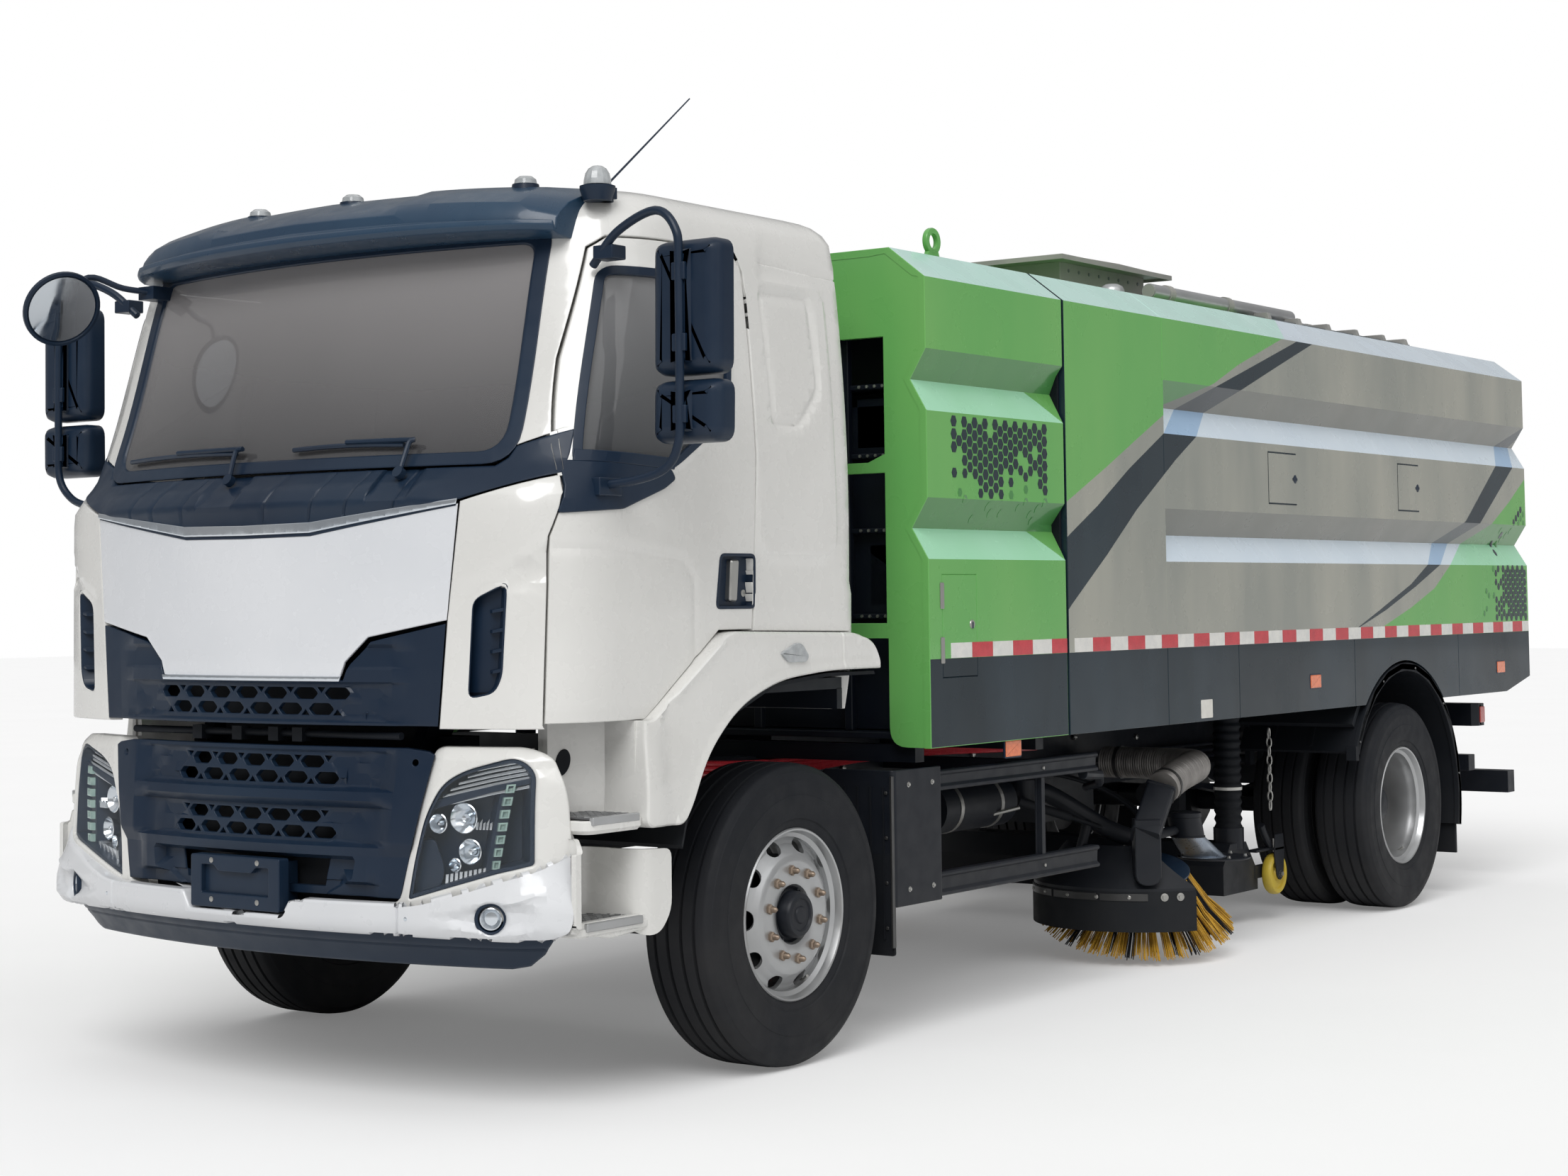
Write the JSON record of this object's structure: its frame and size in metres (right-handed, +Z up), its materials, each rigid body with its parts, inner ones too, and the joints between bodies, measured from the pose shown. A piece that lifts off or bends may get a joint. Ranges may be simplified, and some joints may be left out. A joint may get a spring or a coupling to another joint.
{
  "type": "suction sweeper truck",
  "caption": "Two-axle electric suction sweeper truck with tilting cab, tipping hopper body, rear door, side brushes and a lifting suction nozzle.",
  "frame": {"origin": "on the ground under the middle of the bounding box", "axes": "+Z up; the truck faces -Y; +X is its left side"},
  "size_m": [3.1908, 8.5902, 3.264],
  "materials": {
    "white_paint": "gloss off-white",
    "silver_paint": "satin silver-white",
    "green_paint": "gloss leaf green",
    "body_paint": "satin warm grey with green and navy bands",
    "dark_plastic": "satin blue-black",
    "chassis_black": "satin black",
    "black_rubber": "matt",
    "tyre_rubber": "matt, ribbed",
    "wheel_silver": "satin silver",
    "rod_chrome": "polished",
    "tinted_glass": "clear, lightly tinted",
    "lamp_glass": "clear lens",
    "cab_trim": "matt dark grey",
    "roof_grey": "satin grey",
    "bristle": "straw yellow bristles",
    "caster_yellow": "yellow tyre",
    "duct_hose": "silver-grey corrugated"
  },
  "bodies": {
    "chassis": {"chassis_frame": "chassis_black", "front_axle": "chassis_black", "rear_axle": "chassis_black", "bumper": "silver_paint", "lower_grille": "dark_plastic", "headlight_left": "lamp_glass", "headlight_right": "lamp_glass", "front_module": "green_paint", "side_guard_left": "chassis_black", "side_guard_right": "chassis_black", "rear_mudguards": "black_rubber", "rear_underrun": "chassis_black"},
    "cab": {"cab_shell": "white_paint", "windscreen": "tinted_glass", "sun_visor": "dark_plastic", "front_panel": "white_paint", "windscreen_cowl": "dark_plastic", "upper_grille": "dark_plastic", "cab_interior": "cab_trim", "beacon_antenna": "lamp_glass", "kerb_mirror": "dark_plastic", "fender_left": "white_paint", "fender_right": "white_paint"},
    "cab_door_left": {"door_left": "white_paint", "door_glass_left": "tinted_glass", "mirror_left": "dark_plastic"},
    "cab_door_right": {"door_right": "white_paint", "door_glass_right": "tinted_glass", "mirror_right": "dark_plastic"},
    "steering_knuckle_left": {"knuckle_left": "chassis_black"},
    "steering_knuckle_right": {"knuckle_right": "chassis_black"},
    "front_wheel_left": {"front_rim_left": "wheel_silver", "front_tyre_left": "tyre_rubber"},
    "front_wheel_right": {"front_rim_right": "wheel_silver", "front_tyre_right": "tyre_rubber"},
    "rear_wheel_left": {"rear_wheels_left": "tyre_rubber"},
    "rear_wheel_right": {"rear_wheels_right": "tyre_rubber"},
    "tipping_body": {"hopper": "body_paint", "roof_gear": "roof_grey"},
    "rear_door": {"tail_door": "body_paint"},
    "tip_cylinder_barrels": {"tip_barrels": "chassis_black"},
    "tip_cylinder_rods": {"tip_rods": "rod_chrome"},
    "brush_carrier_left": {"brush_arm_left": "chassis_black", "dust_hose": "duct_hose"},
    "brush_carrier_right": {"brush_arm_right": "chassis_black"},
    "side_brush_left": {"brush_left": "bristle"},
    "side_brush_right": {"brush_right": "bristle"},
    "nozzle": {"suction_nozzle": "chassis_black", "suction_hose": "black_rubber"},
    "nozzle_caster_left": {"nozzle_wheel_left": "caster_yellow"},
    "nozzle_caster_right": {"nozzle_wheel_right": "caster_yellow"}
  },
  "joints": [
    {"name": "cab_tilt", "type": "hinge", "parent": "chassis", "child": "cab", "pos_m": [0, -3.97, 0.97], "axis": [1, 0, 0], "range_deg": [0, 45]},
    {"name": "door_left_swing", "type": "hinge", "parent": "cab", "child": "cab_door_left", "pos_m": [1.15, -3.94, 1.5], "axis": [0, 0, -1], "range_deg": [0, 65]},
    {"name": "door_right_swing", "type": "hinge", "parent": "cab", "child": "cab_door_right", "pos_m": [-1.15, -3.94, 1.5], "axis": [0, 0, 1], "range_deg": [0, 65]},
    {"name": "steer_left", "type": "hinge", "parent": "chassis", "child": "steering_knuckle_left", "pos_m": [0.955, -2.8, 0.512], "axis": [0, 0, 1], "range_deg": [-38, 38]},
    {"name": "steer_right", "type": "hinge", "parent": "chassis", "child": "steering_knuckle_right", "pos_m": [-0.955, -2.8, 0.512], "axis": [0, 0, 1], "range_deg": [-38, 38]},
    {"name": "front_wheel_left_spin", "type": "hinge", "parent": "steering_knuckle_left", "child": "front_wheel_left", "pos_m": [1.057, -2.8, 0.512], "axis": [1, 0, 0], "continuous": true},
    {"name": "front_wheel_right_spin", "type": "hinge", "parent": "steering_knuckle_right", "child": "front_wheel_right", "pos_m": [-1.057, -2.8, 0.512], "axis": [1, 0, 0], "continuous": true},
    {"name": "rear_wheel_left_spin", "type": "hinge", "parent": "chassis", "child": "rear_wheel_left", "pos_m": [1.095, 2.45, 0.512], "axis": [1, 0, 0], "continuous": true},
    {"name": "rear_wheel_right_spin", "type": "hinge", "parent": "chassis", "child": "rear_wheel_right", "pos_m": [-1.095, 2.45, 0.512], "axis": [1, 0, 0], "continuous": true},
    {"name": "body_tip", "type": "hinge", "parent": "chassis", "child": "tipping_body", "pos_m": [0, 3.95, 1.003], "axis": [-1, 0, 0], "range_deg": [0, 45]},
    {"name": "rear_door_lift", "type": "hinge", "parent": "tipping_body", "child": "rear_door", "pos_m": [0, 4.279, 2.73], "axis": [1, 0, 0], "range_deg": [0, 85]},
    {"name": "barrel_swing", "type": "hinge", "parent": "chassis", "child": "tip_cylinder_barrels", "pos_m": [0, 3, 0.838], "axis": [-1, 0, 0], "range_deg": [0, 58.7]},
    {"name": "rod_stroke", "type": "slide", "parent": "tip_cylinder_barrels", "child": "tip_cylinder_rods", "axis": [0, -0.9928, 0.1202], "range_m": [0, 0.533]},
    {"name": "brush_arm_left_swing", "type": "hinge", "parent": "chassis", "child": "brush_carrier_left", "pos_m": [0.56, -0.18, 0.74], "axis": [0, 0, -1], "range_deg": [0, 28]},
    {"name": "brush_arm_right_swing", "type": "hinge", "parent": "chassis", "child": "brush_carrier_right", "pos_m": [-0.56, -0.18, 0.74], "axis": [0, 0, 1], "range_deg": [0, 28]},
    {"name": "brush_left_spin", "type": "hinge", "parent": "brush_carrier_left", "child": "side_brush_left", "pos_m": [0.9, 0.215, 0.385], "axis": [0.1577, -0.2103, 0.9648], "continuous": true},
    {"name": "brush_right_spin", "type": "hinge", "parent": "brush_carrier_right", "child": "side_brush_right", "pos_m": [-0.9, 0.215, 0.385], "axis": [-0.1577, -0.2103, 0.9648], "continuous": true},
    {"name": "nozzle_lift", "type": "slide", "parent": "chassis", "child": "nozzle", "axis": [0, 0, 1], "range_m": [-0.11, 0], "deforming": ["suction_hose"]},
    {"name": "nozzle_caster_left_spin", "type": "hinge", "parent": "nozzle", "child": "nozzle_caster_left", "pos_m": [0.888, 1.63, 0.23], "axis": [1, 0, 0], "continuous": true},
    {"name": "nozzle_caster_right_spin", "type": "hinge", "parent": "nozzle", "child": "nozzle_caster_right", "pos_m": [-0.888, 1.63, 0.23], "axis": [1, 0, 0], "continuous": true}
  ],
  "couplings": [
    {"joint": "steer_right", "follows": "steer_left", "ratio": 1},
    {"joint": "barrel_swing", "follows": "body_tip", "ratio": 1.302},
    {"joint": "rod_stroke", "follows": "body_tip", "m_per_rad": 0.677}
  ]
}
